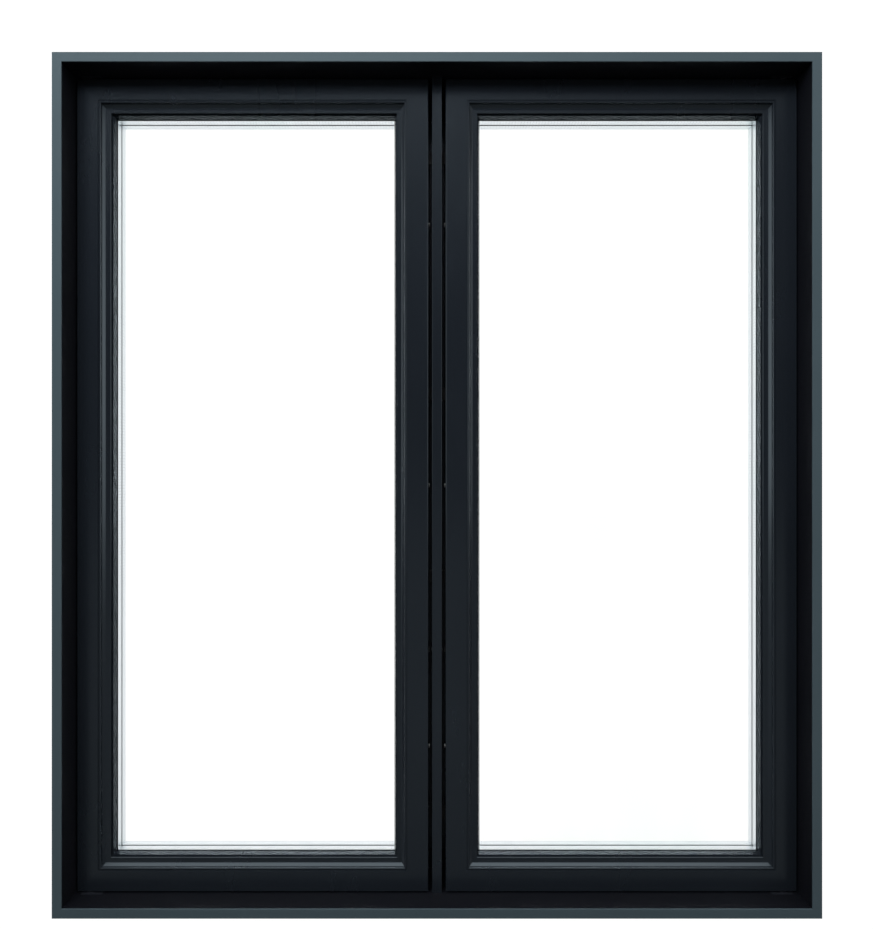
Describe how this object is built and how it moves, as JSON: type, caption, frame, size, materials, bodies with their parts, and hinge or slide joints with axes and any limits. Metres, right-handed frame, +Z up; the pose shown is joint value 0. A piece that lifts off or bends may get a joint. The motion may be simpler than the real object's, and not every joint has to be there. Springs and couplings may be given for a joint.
{
  "type": "double casement window",
  "caption": "Double casement window with two outward-opening triple-glazed sashes beside a slender fixed mullion, in a deep near-black frame with a slate front edge.",
  "frame": {"origin": "middle of the sill's underside, at mid-depth of the frame", "axes": "+X to the right seen from outdoors, +Y from outdoors to the room, +Z up"},
  "size_m": [1.2, 0.1786, 1.35],
  "materials": {
    "profile_finish": "satin",
    "cover_finish": "satin",
    "bare_alloy": "satin",
    "hardware_steel": "satin",
    "handle_finish": "satin",
    "clear_glass": "polished",
    "spacer_bar": "matte",
    "seal_rubber": "matte",
    "black_nylon": "matte"
  },
  "bodies": {
    "frame": {"frame_head": "profile_finish", "frame_sill": "profile_finish", "frame_jamb_left": "profile_finish", "frame_jamb_right": "profile_finish", "cover_top": "cover_finish", "cover_bottom": "cover_finish", "cover_left": "cover_finish", "cover_right": "cover_finish", "frame_corner_cleats": "bare_alloy", "mullion": "profile_finish", "mullion_plugs": "bare_alloy", "weatherstrip_left": "seal_rubber", "weatherstrip_right": "seal_rubber", "pivots_top": "hardware_steel", "pivots_bottom": "hardware_steel", "bar_guides": "black_nylon", "lock_case_left": "black_nylon", "lock_case_right": "black_nylon", "case_screws": "hardware_steel", "lever_axles": "hardware_steel"},
    "sash_left": {"stile_hinge_left": "profile_finish", "stile_lock_left": "profile_finish", "rail_bottom_left": "profile_finish", "rail_top_left": "profile_finish", "corner_cleats_left": "bare_alloy", "pivot_bushes_left": "hardware_steel", "keepers_left": "hardware_steel", "glass_outer_left": "clear_glass", "glass_middle_left": "clear_glass", "glass_inner_left": "clear_glass", "spacer_outer_left": "spacer_bar", "spacer_inner_left": "spacer_bar", "glazing_gasket_outer_left": "seal_rubber", "glazing_gasket_inner_left": "seal_rubber", "glazing_beads_left": "profile_finish", "setting_blocks_left": "black_nylon", "pull_handle_left": "handle_finish"},
    "lever_left": {"lock_lever_left": "handle_finish"},
    "bar_left": {"tie_bar_left": "hardware_steel", "rollers_left": "hardware_steel"},
    "sash_right": {"stile_hinge_right": "profile_finish", "stile_lock_right": "profile_finish", "rail_bottom_right": "profile_finish", "rail_top_right": "profile_finish", "corner_cleats_right": "bare_alloy", "pivot_bushes_right": "hardware_steel", "keepers_right": "hardware_steel", "glass_outer_right": "clear_glass", "glass_middle_right": "clear_glass", "glass_inner_right": "clear_glass", "spacer_outer_right": "spacer_bar", "spacer_inner_right": "spacer_bar", "glazing_gasket_outer_right": "seal_rubber", "glazing_gasket_inner_right": "seal_rubber", "glazing_beads_right": "profile_finish", "setting_blocks_right": "black_nylon", "pull_handle_right": "handle_finish"},
    "lever_right": {"lock_lever_right": "handle_finish"},
    "bar_right": {"tie_bar_right": "hardware_steel", "rollers_right": "hardware_steel"}
  },
  "joints": [
    {"name": "sash_left_swing", "type": "hinge", "parent": "frame", "child": "sash_left", "pos_m": [-0.563, -0.017, 0.675], "axis": [0, 0, -1], "range_deg": [0, 90]},
    {"name": "sash_right_swing", "type": "hinge", "parent": "frame", "child": "sash_right", "pos_m": [0.563, -0.017, 0.675], "axis": [0, 0, 1], "range_deg": [0, 90]},
    {"name": "lock_left_turn", "type": "hinge", "parent": "frame", "child": "lever_left", "pos_m": [-0.0155, 0.058, 0.38], "axis": [-1, 0, 0], "range_deg": [0, 120]},
    {"name": "bar_left_slide", "type": "slide", "parent": "frame", "child": "bar_left", "axis": [0, 0, 1], "range_m": [0, 0.0189]},
    {"name": "lock_right_turn", "type": "hinge", "parent": "frame", "child": "lever_right", "pos_m": [0.0155, 0.058, 0.38], "axis": [-1, 0, 0], "range_deg": [0, 120]},
    {"name": "bar_right_slide", "type": "slide", "parent": "frame", "child": "bar_right", "axis": [0, 0, 1], "range_m": [0, 0.0189]}
  ],
  "couplings": [
    {"joint": "bar_left_slide", "follows": "lock_left_turn", "m_per_rad": 0.009},
    {"joint": "bar_right_slide", "follows": "lock_right_turn", "m_per_rad": 0.009}
  ]
}
